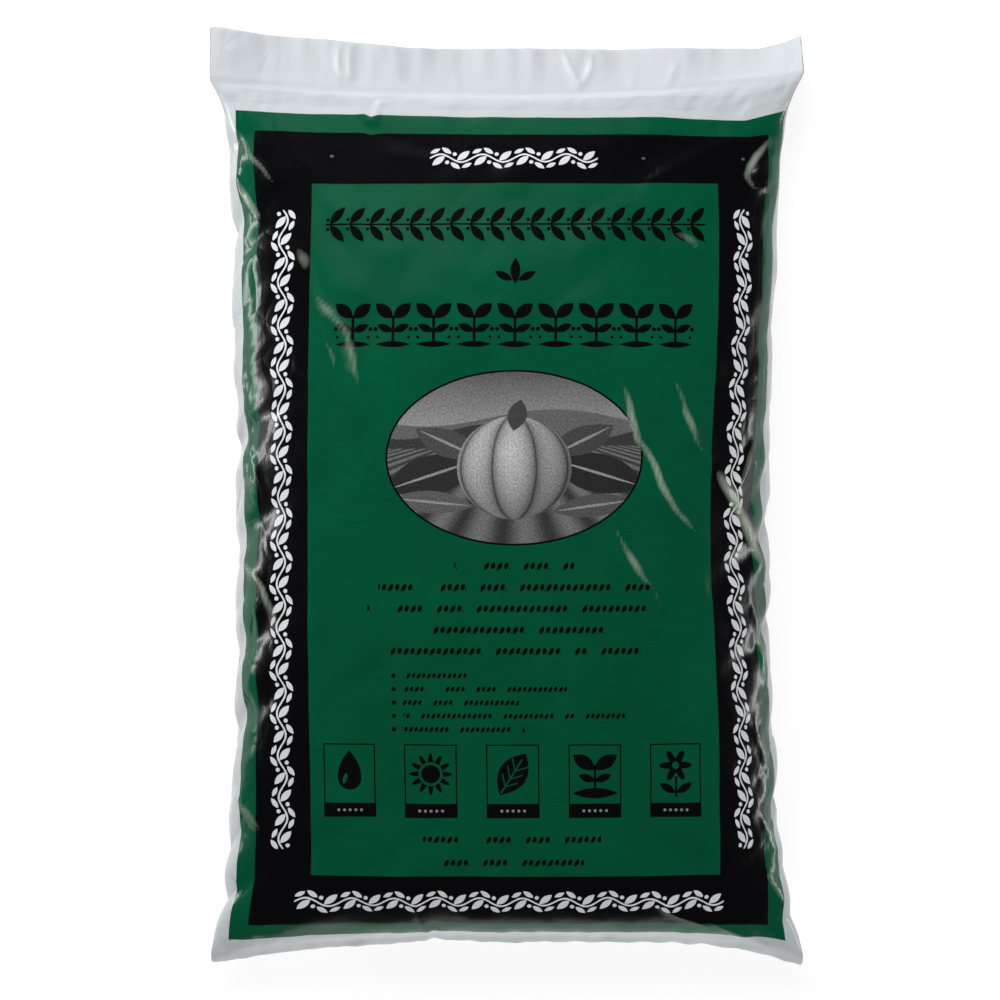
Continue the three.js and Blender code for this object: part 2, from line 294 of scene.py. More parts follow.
normals = [v.normal.copy() for v in bag_mesh.vertices]
for vert, place, normal in zip(bag_mesh.vertices, flat, normals):
    if 0 < place.y < BODY_FILM and vert.co.z > 0:
        calm = rise(min(place.y, BODY_FILM - place.y), HEEL_FILM / 2)
        dent = DENT_DEPTH * noise.noise(Vector((place.x, place.y, 50 * place.z)) / DENT_SIZE)
        vert.co += normal * calm * (dent - WAVE_DEPTH * side_waves(place.x, place.y)) * MM

resting = [v.co.z < SEALED_THICKNESS * MM for v in bag_mesh.vertices]
bag.shape_key_add(name="filled")
tube = bag.shape_key_add(name="tube")
radius = FILM_WIDTH / math.pi
for point, place in zip(tube.data, flat):
    angle = (place.x if place.z >= 0 else FILM_WIDTH - place.x) / radius
    point.co = Vector((radius * math.sin(angle), SLACK * place.y, radius * math.cos(angle))) * MM
held = bag.vertex_groups.new(name="held")
for i, place in enumerate(flat):
    firm = resting[i] or not 0 < place.y < BODY_FILM
    held.add([i], 1 if firm else FILL_HOLD, "REPLACE")
gathers = bag.modifiers.new("gathers", "CLOTH")
cloth = gathers.settings
cloth.quality = 6
cloth.mass = 0.0005
cloth.tension_stiffness = 150
cloth.compression_stiffness = 150
cloth.shear_stiffness = 20
cloth.bending_stiffness = 0
cloth.air_damping = 5
cloth.rest_shape_key = tube
cloth.vertex_group_mass = held.name
cloth.use_pressure = True
cloth.uniform_pressure_force = BREATH
cloth.effector_weights.gravity = 0
gathers.collision_settings.use_collision = False
for frame_number in range(1, SETTLING_FRAMES + 1):
    bpy.context.scene.frame_set(frame_number)

finer = bag.modifiers.new("finer", "SUBSURF")
finer.levels = 1
finer.render_levels = 1
finer.uv_smooth = "NONE"
shaped = bpy.data.meshes.new_from_object(bag.evaluated_get(bpy.context.evaluated_depsgraph_get()))
bag.modifiers.clear()
bag.shape_key_clear()
bag.vertex_groups.clear()
bag.data = shaped
shaped.name = "compost_bag_film"

# The sharp folds that stand in the film where it has been bent and has kept the bend. Each has its height
# and half width, and the places that it runs through, across and along the flat film.
FACE_FOLDS = [
    (2.4, 3.4, [(66, 462), (81, 450), (90, 429), (99, 396), (111, 378), (120, 354), (126, 345), (144, 327),
                (162, 315)]),
    (2.0, 3.2, [(120, 450), (126, 444), (135, 417), (144, 393), (162, 366)]),
    (3.4, 5.5, [(156, 378), (174, 351), (186, 330), (204, 297)]),
    (2.0, 3.0, [(81, 342), (84, 327), (93, 309), (111, 285), (120, 264)]),
    (0.9, 2.6, [(144, 309), (153, 273)]),
    (1.2, 4.5, [(126, 549), (138, 543), (150, 531)]),
    (1.2, 4.5, [(111, 507), (126, 504), (141, 498)]),
    (2.1, 3.2, [(-150, 519), (-138, 501), (-117, 477), (-111, 456), (-105, 426)]),
    (1.4, 3.0, [(-142, 486), (-128, 462), (-122, 440)]),
    (1.4, 3.0, [(-156, 456), (-147, 441), (-141, 430)]),
    (1.3, 3.0, [(-165, 549), (-153, 540), (-150, 519)]),
    (1.0, 6.0, [(144, 135), (160, 148), (177, 159)]),
    (0.9, 5.0, [(-130, 330), (-100, 342), (-70, 345)]),
    (0.9, 5.0, [(-120, 372), (-104, 362), (-96, 350)]),
]
EDGE_FOLDS = [
    (2.4, 3.0, [(-213, 640), (-198, 615), (-183, 597), (-170, 586)]),
    (2.6, 3.0, [(-210, 600), (-196, 574), (-183, 558)]),
    (1.6, 2.8, [(-210, 452), (-198, 426)]),
    (1.8, 2.6, [(-210, 400), (-198, 372), (-186, 345)]),
    (1.6, 2.6, [(-205, 408), (-193, 380), (-181, 352)]),
    (2.8, 3.6, [(-208, 312), (-183, 288), (-174, 270), (-168, 245)]),
    (1.4, 3.0, [(-186, 282), (-192, 240)]),
    (2.2, 3.0, [(-211, 134), (-195, 118), (-180, 98)]),
    (1.6, 2.6, [(-216, 76), (-205, 60)]),
    (1.8, 2.8, [(196, 404), (180, 364)]),
    (1.5, 2.6, [(190, 390), (176, 358)]),
    (2.4, 3.4, [(186, 285), (201, 240), (208, 196)]),
    (2.4, 3.2, [(190, 184), (206, 146)]),
    (2.2, 3.2, [(196, 118), (212, 84)]),
    (2.2, 3.2, [(196, 74), (214, 42)]),
    (2.2, 4.0, [(212, 632), (192, 611), (183, 597), (190, 588), (206, 590)]),
    (1.4, 3.2, [(174, 584), (186, 558)]),
]
SEAL_FOLDS = [
    (1.7, 5.0, [(-196, 640), (-170, 606), (-144, 582)]),
    (1.5, 5.0, [(-180, 640), (-156, 606), (-134, 588)]),
    (1.9, 5.0, [(98, 588), (150, 612), (208, 640)]),
    (1.6, 4.5, [(120, 584), (165, 604), (206, 626)]),
    (1.0, 4.5, [(146, 586), (180, 600), (208, 614)]),
    (1.8, 3.0, [(-118, 660), (-106, 636)]),
    (1.8, 3.0, [(-94, 660), (-105, 636)]),
    (2.0, 3.0, [(-72, 56), (-64, 30), (-58, 4)]),
    (2.2, 4.0, [(100, 56), (128, 38), (156, 22)]),
    (2.0, 4.0, [(150, 34), (176, 14), (200, 0)]),
]
FLAP_FOLDS = [
    (2.8, 2.2, [(-126, 711), (-128, 700), (-127, 676)]),
    (2.3, 2.0, [(-117, 711), (-120, 676)]),
    (3.0, 2.6, [(41, 711), (47, 692), (53, 674)]),
    (2.8, 2.2, [(65, 711), (60, 690), (54, 674)]),
    (1.5, 2.6, [(128, 700), (120, 672)]),
    (0.8, 2.2, [(-40, 690), (-36, 672)]),
    (0.8, 2.2, [(96, 688), (92, 672)]),
]
PAINTED_SHEEN_MARKS = [  # broad painted highlights, which aren't raised
    (0.46, 14.0, [(-156, 524), (-138, 498), (-116, 474), (-108, 424)]),
    (0.50, 8.0, [(-160, 548), (-150, 530), (-146, 516)]),
    (0.55, 7.0, [(150, 396), (168, 366), (188, 332), (205, 300)]),
    (0.50, 7.0, [(118, 556), (134, 548), (150, 538)]),
    (0.42, 7.0, [(104, 508), (124, 503), (142, 496)]),
    (0.42, 10.0, [(140, 150), (160, 156), (182, 164)]),
]
PAINTED_SHEEN_REACH = 90
FOLD_REACH = 6  # a fold lifts the film as far away as this many of its half widths
WANDER = 1.6  # how far a fold strays from its straight stretches
WANDER_LENGTH = 16
WANDER_SEEDS = (3.1, 7.7)
FULL_HIGHLIGHT_HEIGHT = 3.0  # a fold of this height gets the full painted highlight
NARROWEST_HIGHLIGHT = 3.8  # the half width of the painted highlight on the sharpest fold


def smooth_noise(places, size, seed):
    """Even noise of about -1 to 1 at each place, with features of a given size in millimetres."""
    return np.array([noise.noise(Vector((x / size, y / size, seed))) for x, y in places])


def fold_lift(places, height, half_width, route):
    """How far one fold lifts the film at each of some places."""
    route = np.array(route, float)
    spans = np.diff(route, axis=0)
    lengths = np.hypot(*spans.T)
    starts = np.concatenate([[0], np.cumsum(lengths)])
    nearest = np.full(len(places), np.inf)
    run = np.zeros(len(places))
    for start, span, length, so_far in zip(route, spans, lengths, starts):
        share = np.clip((places - start) @ span / length ** 2, 0, 1)
        away = np.hypot(*(places - start - share[:, None] * span).T)
        closer = away < nearest
        nearest = np.where(closer, away, nearest)
        run = np.where(closer, so_far + share * length, run)
    ends = np.sin(np.pi * np.clip(run / starts[-1], 0, 1)) ** 0.6
    return height * ends / (1 + (nearest / half_width) ** 2) ** 1.5


count = len(shaped.vertices)
film_uv = np.zeros(2 * len(shaped.loops))
shaped.uv_layers["film"].data.foreach_get("uv", film_uv)
corner_of = np.zeros(len(shaped.loops), int)
shaped.loops.foreach_get("vertex_index", corner_of)
film_uv = film_uv.reshape(-1, 2) / MM
across = np.full(count, np.inf)
np.minimum.at(across, corner_of, film_uv[:, 0])
along = np.zeros(count)
along[corner_of] = film_uv[:, 1]
on_back = across > FOLD + 0.01
side = np.where(on_back, np.sign(FILM_WIDTH - across), np.sign(across))
from_fold = np.where(on_back, -(FOLD - np.abs(FILM_WIDTH - across)), FOLD - np.abs(across))
places = np.stack([across, along], axis=1)
strays = [smooth_noise(places, WANDER_LENGTH, seed) for seed in WANDER_SEEDS]
crooked = places + WANDER * np.stack(strays, axis=1)
lift = np.zeros(count)
# How strong the painted highlight is at each point, along the folds and on the broad marks.
painted_highlight = np.zeros(count)
for height, half_width, route in FACE_FOLDS + EDGE_FOLDS + SEAL_FOLDS + FLAP_FOLDS:
    reach = FOLD_REACH * half_width
    low = np.min(route, axis=0) - reach
    high = np.max(route, axis=0) + reach
    near = np.flatnonzero(((places > low) & (places < high)).all(axis=1) & ~on_back)
    lift[near] += fold_lift(crooked[near], height, half_width, route)
    if (height, half_width, route) not in SEAL_FOLDS:
        pale = fold_lift(crooked[near], height / FULL_HIGHLIGHT_HEIGHT, max(half_width, NARROWEST_HIGHLIGHT), route)
        painted_highlight[near] = np.maximum(painted_highlight[near], pale)
# The broad marks get a painted highlight too.
for strength, half_width, route in PAINTED_SHEEN_MARKS:
    away = np.hypot(*(places - np.mean(route, axis=0)).T)
    near = np.flatnonzero(~on_back & (away < PAINTED_SHEEN_REACH))
    painted_highlight[near] = np.maximum(painted_highlight[near], fold_lift(crooked[near], strength, half_width, route))

# Between the folds the sides swell in lobes that meet in sharp valleys.
LOBE_PITCH = 43
LOBE_DEPTH = 3.0
LOBE_REACH = 34
LOBE_LEAN = 0.9
LOBE_LEVEL = 0.7  # the share of a lobe's height at which the smooth film lies
LOBE_DRIFT = [(17, 90, 1.3), (5, 24, 5.2)]  # how far, over what length and with what seed the lobes stray
LOBE_RUN_OUT = 40  # from a seal, over which the lobes grow
TIGHT_LOBES = 0.2
SIDES_APART = 400  # so that the two sides stray each in its own way
unrolled = np.stack([side * SIDES_APART + from_fold, along], axis=1)
drift = sum(far * smooth_noise(unrolled, length, seed) for far, length, seed in LOBE_DRIFT)
turn = (along + side * LOBE_LEAN * from_fold + drift) / LOBE_PITCH
lobe = np.abs(np.sin(np.pi * turn)) ** 0.7
sizes = 0.65 + 0.35 * np.sin(2.3 * np.floor(turn) + side)
calm = np.clip(np.minimum(along, BODY_FILM - along) / LOBE_RUN_OUT, 0, 1)
fade = np.exp(-(np.where(from_fold > 0, from_fold, 1.5 * from_fold) / LOBE_REACH) ** 2)
tight = np.where(side > 0, np.clip((along - TIGHT_FROM) / TIGHT_FILM, 0, 1), 0)
lift += LOBE_DEPTH * sizes * (lobe - LOBE_LEVEL) * calm * fade * (1 - (1 - TIGHT_LOBES) * tight)

# The loose ends: the header hangs in ripples that grow towards its cut edge, and the foot is crumpled. Both
# cut edges wander: the header hangs lowest near its right end, and the foot is pinched left of its middle.
SEAL_RIDGE = 0.5
HEADER_WAVES = [(2.6, 118, 0.4), (1.1, 67, 2.1)]  # height, length and phase
HEADER_CREASES = [(2.4, 0.15, 13, 2.2), (1.0, 0.2, 6, 4.4)]  # height, stretch along, size and seed
FOOT_CREASES = [(1.6, 0.5, 9, 8.4), (2.4, 0.4, 21, 5.7)]
STRAIN_CREASES = 1.3  # the height of the short slanted creases below the top seal
STRAIN_SLANT = np.array([[0.9, 0.3], [-0.5, 0.4]])
HEADER_PULL = [(-225, 1), (-190, -1), (-135, -1), (-75, -3.5), (15, -0.5), (110, 0), (165, -2.5),
               (190, -4.5), (212, -1), (225, 3)]  # across, and how far the cut edge is pulled along
FOOT_PULL = [(-222, -1), (-153, 1.5), (-78, 2.5), (-62, 3), (-56, 6.5), (-47, 4), (-3, 1.5), (72, 3),
             (147, 5.5), (185, 3.5), (222, -3)]
FOOT_RAGGED = 1.2
FOOT_PULL_FILM = 50  # above the foot seal, where its pull has run out
CRUMPLE_FILM = 20
CRUMPLE_GROWTH = 26
header = np.clip((along - BODY_FILM) / HEADER_FILM, 0, 1)
mirrored = np.where(on_back, FILM_WIDTH - across, across)
same_place = np.stack([mirrored, along], axis=1)
ripples = np.zeros(count)
for height, length, phase in HEADER_WAVES:
    ripples += height * np.sin(2 * np.pi * mirrored / length + phase)
for height, stretch, size, seed in HEADER_CREASES:
    ripples += height * smooth_noise(same_place * [1, stretch], size, seed)
lift_z = header * ripples
lift_z += SEAL_RIDGE * np.exp(-((along - BODY_FILM - 5) / 3) ** 2)
lift_z -= SEAL_RIDGE * np.exp(-((along - BODY_FILM + 1) / 2.5) ** 2)
below_seal = np.exp(-((along - BODY_FILM + 13) / 9) ** 2)
lift_z += STRAIN_CREASES * below_seal * smooth_noise(same_place @ STRAIN_SLANT, 8, 6.1)
crumple = np.clip((CRUMPLE_FILM - along) / CRUMPLE_GROWTH, 0, 1)
for height, stretch, size, seed in FOOT_CREASES:
    lift_z += height * crumple * smooth_noise(same_place * [1, stretch], size, seed)
header_pull = np.interp(mirrored, *zip(*HEADER_PULL))
foot_pull = np.interp(mirrored, *zip(*FOOT_PULL)) + FOOT_RAGGED * smooth_noise(same_place, 12, 3.9)
near_foot = np.clip((FOOT_PULL_FILM - along) / (FOOT_PULL_FILM + FOOT_FILM), 0, 1) ** 1.5
pull_y = header * header_pull + near_foot * foot_pull

spots = np.zeros(3 * count)
shaped.vertices.foreach_get("co", spots)
spots = spots.reshape(-1, 3)
pointing = np.zeros(3 * count)
shaped.vertices.foreach_get("normal", pointing)
pointing = pointing.reshape(-1, 3)
spots += pointing * lift[:, None] * MM
spots[:, 1] += pull_y * MM
spots[:, 2] = np.maximum(spots[:, 2] + lift_z * MM, 0)
shaped.vertices.foreach_set("co", spots.ravel())
# The painted highlights go to the shader as an attribute of the points.
highlight_layer = shaped.attributes.new("painted_highlight", "FLOAT", "POINT")
highlight_layer.data.foreach_set("value", painted_highlight)
shaped.shade_smooth()
shaped.update()

# The folds take up film, so that the print's edges come to lie a little out of line. Its sides shift across
# near the left corners and beside the oval, and its head end shifts along.
SIDE_SLIP = 8
LEFT_SLIPS = [(640, 60), (20, 50)]  # along, and the half length
RIGHT_SLIP = (340, 110)
OUTER_SLIP_ENDS = 600
HEAD_SLIP = [(-225, 0), (-150, 2), (-110, 2.5), (-104, 5), (-98, 3), (-20, 4.5), (120, 5), (185, 9),
             (218, 2)]  # across, and how far the print's head end shifts


def bell(values, middle, width):
    return np.exp(-((values - middle) / width) ** 2)


print_x, print_y = film_uv.T
on_face = print_x < FOLD + 1
near_left = np.clip((-print_x - 120) / 60, 0, 1)
near_right = np.clip((print_x - 110) / 50, 0, 1)
outermost = np.clip((print_x - 170) / 40, 0, 1)
slip_across = SIDE_SLIP * near_left * sum(bell(print_y, middle, width) for middle, width in LEFT_SLIPS)
slip_across += SIDE_SLIP * near_right * bell(print_y, *RIGHT_SLIP)
slip_across += SIDE_SLIP * outermost * np.clip((OUTER_SLIP_ENDS - print_y) / 40, 0, 1)
slip_along = np.interp(print_x, *zip(*HEAD_SLIP))
slip_along *= np.clip((print_y - 598) / 40, 0, 1)
print_uv = (film_uv + np.stack([slip_across * on_face, slip_along * on_face], axis=1)) * MM
shaped.uv_layers["film"].data.foreach_set("uv", print_uv.ravel())

# The print: flexographic ink on gloss polyethylene, in green, black and white, with a grey picture in an
# oval. It covers the face only. All places are in millimetres of flat film. Every ornament is made of
# leaves, spots and bars, each of which is a mask of 1 inside and 0 outside.
FILM_WHITE = "#c4c9cc"
FILM_OVER_FILL = "#c0c5c8"
# The colour of the painted shade in a strip just below the top seal.
SEAL_STRIP_SHADE = "#b6bcbf"
GREEN_THIN, GREEN_FULL = "#035438", "#034b30"
BLACK = "#08080a"
WHITE = "#d6d8da"
# Painted highlights along the folds: one colour on the print, one on the white film.
PAINTED_GLINT_ON_PRINT = "#a8b5a4"
PAINTED_GLINT_ON_WHITE = "#e6eaec"
HOLE, HOLE_RIM = "#101010", "#6d6f70"
CAPTION_DOTS = "#7f8582"
FIELD_LEFT, FIELD_RIGHT, FIELD_FOOT, FIELD_HEAD = -203, 219, 12, 648
FIELD_BAND = 15
BORDER_BAND = 43
PANEL_INSET = FIELD_BAND + BORDER_BAND
FIELD_MIDDLE = (FIELD_LEFT + FIELD_RIGHT) / 2
FIELD_CENTRE = (FIELD_FOOT + FIELD_HEAD) / 2
BAND_MIDDLE = FIELD_BAND + BORDER_BAND / 2
OVAL_DROP = 207
OVAL_SIZE = (186, 126)
BOX_SIZE = (39, 56)
BOX_PITCH = 60.5
BOX_STATION = 144
BOX_LINE = 1
CAPTION = 11
CAPTION_DOT_PITCH = 4.2
PIN_PRICKS = ((-132, 613), (105, 612), (182, 612))
TOP_VINE, FOOT_VINE, SIDE_VINE = 128, 320, 480  # lengths
VINE_PITCH = 32.0
VINE_SWING = 3.4
GARLAND_PITCH = 15.0
PLANT_PITCH = 29.9
SEED_PITCH = 9.2
SEEDS_SOWN = 0.85  # the share of places in a row that hold a seed
ROW_SHIFT = 31.7  # so that no two rows have their gaps in the same places
MOTIF_ROOM = 40  # more than any running ornament is wide
MATH = "ShaderNodeMath"


def linear(code):
    """A colour written as sRGB hex digits, in the linear values that shaders take."""
    shares = [int(code[i:i + 2], 16) / 255 for i in (1, 3, 5)]
    return [c / 12.92 if c <= 0.04045 else ((c + 0.055) / 1.055) ** 2.4 for c in shares] + [1]


def add(tree, kind, inputs=(), out=0, **settings):
    """Adds a node with its settings and its inputs, by place or by name, and gives one of its outputs."""
    node = tree.nodes.new(kind)
    for name, value in settings.items():
        setattr(node, name, value)
    for key, value in inputs.items() if isinstance(inputs, dict) else enumerate(inputs):
        if isinstance(value, bpy.types.NodeSocket):
            tree.links.new(value, node.inputs[key])
        else:
            node.inputs[key].default_value = value
    return node.outputs[out]


def around(tree, place, middle, half=(1, 1), turn=0):
    """A place seen from a motif's middle and turned with it, in shares of its half length and half width."""
    c, s = math.cos(math.radians(turn)), math.sin(math.radians(turn))
    local = []
    for across_share, along_share, size in ((c, s, half[0]), (-s, c, half[1])):
        shift = -(middle[0] * across_share + middle[1] * along_share) / size
        part = add(tree, MATH, [place[0], across_share / size, shift], operation="MULTIPLY_ADD")
        local.append(add(tree, MATH, [place[1], along_share / size, part], operation="MULTIPLY_ADD"))
    return local


def folded(tree, value):
    """The distance from a line, alike on both sides of it, so that a motif is mirrored."""
    return add(tree, MATH, [value], operation="ABSOLUTE")


def round_distance(tree, place):
    square = add(tree, MATH, [place[0], place[0]], operation="MULTIPLY")
    total = add(tree, MATH, [place[1], place[1], square], operation="MULTIPLY_ADD")
    return add(tree, MATH, [total, 0.5], operation="POWER")


def spot(tree, place, middle, size, turn=0):
    local = around(tree, place, middle, (size[0] / 2, size[1] / 2), turn)
    return add(tree, MATH, [round_distance(tree, local), 1.0], operation="LESS_THAN")


def bar(tree, place, middle, size, turn=0):
    x, y = around(tree, place, middle, (size[0] / 2, size[1] / 2), turn)
    furthest = add(tree, MATH, [folded(tree, x), folded(tree, y)], operation="MAXIMUM")
    return add(tree, MATH, [furthest, 1.0], operation="LESS_THAN")


def leaf(tree, place, middle, size, turn=0):
    """A leaf with two pointed ends, bounded by two parabolas."""
    x, y = around(tree, place, middle, (size[0] / 2, size[1] / 2), turn)
    total = add(tree, MATH, [x, x, folded(tree, y)], operation="MULTIPLY_ADD")
    return add(tree, MATH, [total, 1.0], operation="LESS_THAN")


def petals(tree, place, middle, count, inner, outer):
    """A round form whose rim waves in and out."""
    local = around(tree, place, middle)
    angle = add(tree, MATH, [local[1], local[0]], operation="ARCTAN2")
    wave = add(tree, MATH, [angle, float(count)], operation="MULTIPLY")
    wave = add(tree, MATH, [wave], operation="COSINE")
    rim = add(tree, MATH, [wave, (outer - inner) / 2, (outer + inner) / 2], operation="MULTIPLY_ADD")
    return add(tree, MATH, [round_distance(tree, local), rim], operation="LESS_THAN")


def any_of(tree, masks):
    together = masks[0]
    for mask in masks[1:]:
        together = add(tree, MATH, [together, mask], operation="MAXIMUM")
    return together


def both_of(tree, mask, other):
    return add(tree, MATH, [mask, other], operation="MULTIPLY")


def without(tree, mask, hole):
    """A mask, cut away where the other one is."""
    return add(tree, MATH, [mask, hole], operation="GREATER_THAN")


def repeated(tree, place, pitch):
    """A place measured from the middle of its own copy, in a row of copies."""
    return add(tree, MATH, [place[0], pitch / 2, -pitch / 2], operation="WRAP"), place[1]


def colour_over(tree, below, ink, mask):
    """A colour laid over what is below it, where the mask is 1: ink, the film's own greys, painted shade and
    painted highlights.
    """
    ink = ink if isinstance(ink, bpy.types.NodeSocket) else linear(ink)
    return add(tree, "ShaderNodeMix", {0: mask, 6: below, 7: ink}, out=2, data_type="RGBA")


def vine(tree, place, middle, length, turn=0):
    """A running vine: a waving stem with leaves in its hollows and a berry beyond each crest."""
    place = around(tree, place, middle, turn=turn)
    angle = add(tree, MATH, [place[0], 2 * math.pi / VINE_PITCH], operation="MULTIPLY")
    wave = add(tree, MATH, [angle], operation="SINE")
    height = add(tree, MATH, [wave, VINE_SWING], operation="MULTIPLY")
    stem = add(tree, MATH, [place[1], height, 0.75], operation="COMPARE")
    x = repeated(tree, place, VINE_PITCH)[0]
    flipped = add(tree, MATH, [x], operation="SIGN")
    mirrored = folded(tree, x), add(tree, MATH, [place[1], flipped], operation="MULTIPLY")
    masks = [
        stem,
        leaf(tree, mirrored, (6.6, -2.2), (12.5, 5.2), 42),
        leaf(tree, mirrored, (12.6, 6.6), (9.5, 3.8), -36),
        leaf(tree, mirrored, (3.8, 6.4), (8.5, 3.4), 28),
        spot(tree, mirrored, (13.2, -3.6), (3.2, 3.2)),
    ]
    return both_of(tree, any_of(tree, masks), bar(tree, place, (0, 0), (length, MOTIF_ROOM)))


def laurel(tree, place, middle, length):
    """A straight garland: pairs of leaves that open along a thin stem, with berries between."""
    place = around(tree, place, middle)
    cell = repeated(tree, place, GARLAND_PITCH)
    half = cell[0], folded(tree, cell[1])
    masks = [bar(tree, half, (0, 0), (15.2, 1.4)), leaf(tree, half, (1.4, 6.9), (17, 6.6), 50),
             spot(tree, half, (-5.6, 3.6), (2.8, 2.8))]
    return both_of(tree, any_of(tree, masks), bar(tree, place, (0, 0), (length, MOTIF_ROOM)))


def seedlings(tree, place, middle, length):
    """A garden row: young plants, each with a stem, two pairs of leaves and seeds between, on a furrow."""
    place = around(tree, place, middle)
    cell = repeated(tree, place, PLANT_PITCH)
    half = folded(tree, cell[0]), cell[1]
    masks = [leaf(tree, half, (0, -15.4), (26, 4.6)), bar(tree, half, (0, -4.0), (2.2, 20)),
             leaf(tree, half, (6.6, 9.6), (17, 9.0), 40), leaf(tree, half, (5.9, -3.4), (13, 5.8), 24),
             spot(tree, half, (13.0, -4.0), (3.2, 3.2)), spot(tree, half, (11.6, -10.0), (2.2, 2.2))]
    return both_of(tree, any_of(tree, masks), bar(tree, place, (0, 0), (length, MOTIF_ROOM)))


def seed_rows(tree, place, first, pitch, size, rows):
    """Rows of sown seeds, one below another, with gaps; each row has its middle and its length."""
    drop = add(tree, MATH, [place[1], -1 / pitch, first / pitch + 0.5], operation="MULTIPLY_ADD")
    row = add(tree, MATH, [drop], operation="FLOOR")
    from_first = add(tree, MATH, [place[1], -first], operation="ADD")
    y = add(tree, MATH, [row, float(pitch), from_first], operation="MULTIPLY_ADD")
    x = add(tree, MATH, [row, ROW_SHIFT, place[0]], operation="MULTIPLY_ADD")
    local = around(tree, (x, y), (0, 0), (size, size))
    number = add(tree, MATH, [local[0], 1 / SEED_PITCH, 0.5], operation="MULTIPLY_ADD")
    number = add(tree, MATH, [number], operation="FLOOR")
    luck = add(tree, "ShaderNodeTexWhiteNoise", {"W": number}, noise_dimensions="1D")
    sown = add(tree, MATH, [luck, 1 - SEEDS_SOWN], operation="GREATER_THAN")
    cell = repeated(tree, local, SEED_PITCH)
    seeds = [leaf(tree, cell, (-2.4, 0), (6.4, 3.0), 62), spot(tree, cell, (2.1, 0.3), (3.0, 4.8), -18),
             spot(tree, cell, (4.5, -1.6), (1.3, 1.3))]
    windows = [bar(tree, place, (middle, first - i * pitch), (length, pitch))
               for i, (middle, length) in enumerate(rows)]
    return both_of(tree, both_of(tree, any_of(tree, seeds), sown), any_of(tree, windows))


def print_border(tree, place, colour):
    """White vines run in the black border, one on each side. Pin pricks let the air out of the bag."""
    mirrored = folded(tree, around(tree, place, (FIELD_MIDDLE, 0))[0]), place[1]
    half_width = (FIELD_RIGHT - FIELD_LEFT) / 2
    vines = [vine(tree, place, (FIELD_MIDDLE - 2, FIELD_HEAD - BAND_MIDDLE), TOP_VINE),
             vine(tree, place, (FIELD_MIDDLE - 4, FIELD_FOOT + BAND_MIDDLE), FOOT_VINE),
             vine(tree, mirrored, (half_width - BAND_MIDDLE, FIELD_CENTRE), SIDE_VINE, turn=90)]
    colour = colour_over(tree, colour, WHITE, any_of(tree, vines))
    for middle in PIN_PRICKS:
        colour = colour_over(tree, colour, HOLE_RIM, spot(tree, place, middle, (2.6, 2.2)))
        colour = colour_over(tree, colour, HOLE, spot(tree, place, middle, (1.3, 1.1)))
    return colour


def print_heading(tree, place, colour):
    """Black on the green panel: a garland, a small sprig, and a row of nine seedlings."""
    half = folded(tree, around(tree, place, (FIELD_MIDDLE, 0))[0]), place[1]
    masks = [laurel(tree, place, (FIELD_MIDDLE, 558), 19 * GARLAND_PITCH),
             seedlings(tree, place, (FIELD_MIDDLE, 482), 9 * PLANT_PITCH),
             leaf(tree, half, (0, 522), (20, 7.4), 90), leaf(tree, half, (8.6, 518), (15, 5.8), 28)]
    return colour_over(tree, colour, BLACK, any_of(tree, masks))


def print_rows(tree, place, colour):
    """Black rows of seeds, each with its middle and length: five wide ones, and five close ones with dots."""
    wide = [(8, 88), (8, 200), (8, 216), (8, 138), (8, 186)]
    close = [(-46, 52), (-14, 120), (-32, 86), (8, 164), (-30, 90)]
    first, pitch = 223, 10
    dots = [spot(tree, place, (-81, first - pitch * i), (3.4, 3.4)) for i in range(len(close))]
    dots.append(seed_rows(tree, place, first, pitch, 0.82, close))
    masks = [seed_rows(tree, place, 303.4, 15.6, 1.05, wide)] + dots
    return colour_over(tree, colour, BLACK, any_of(tree, masks))


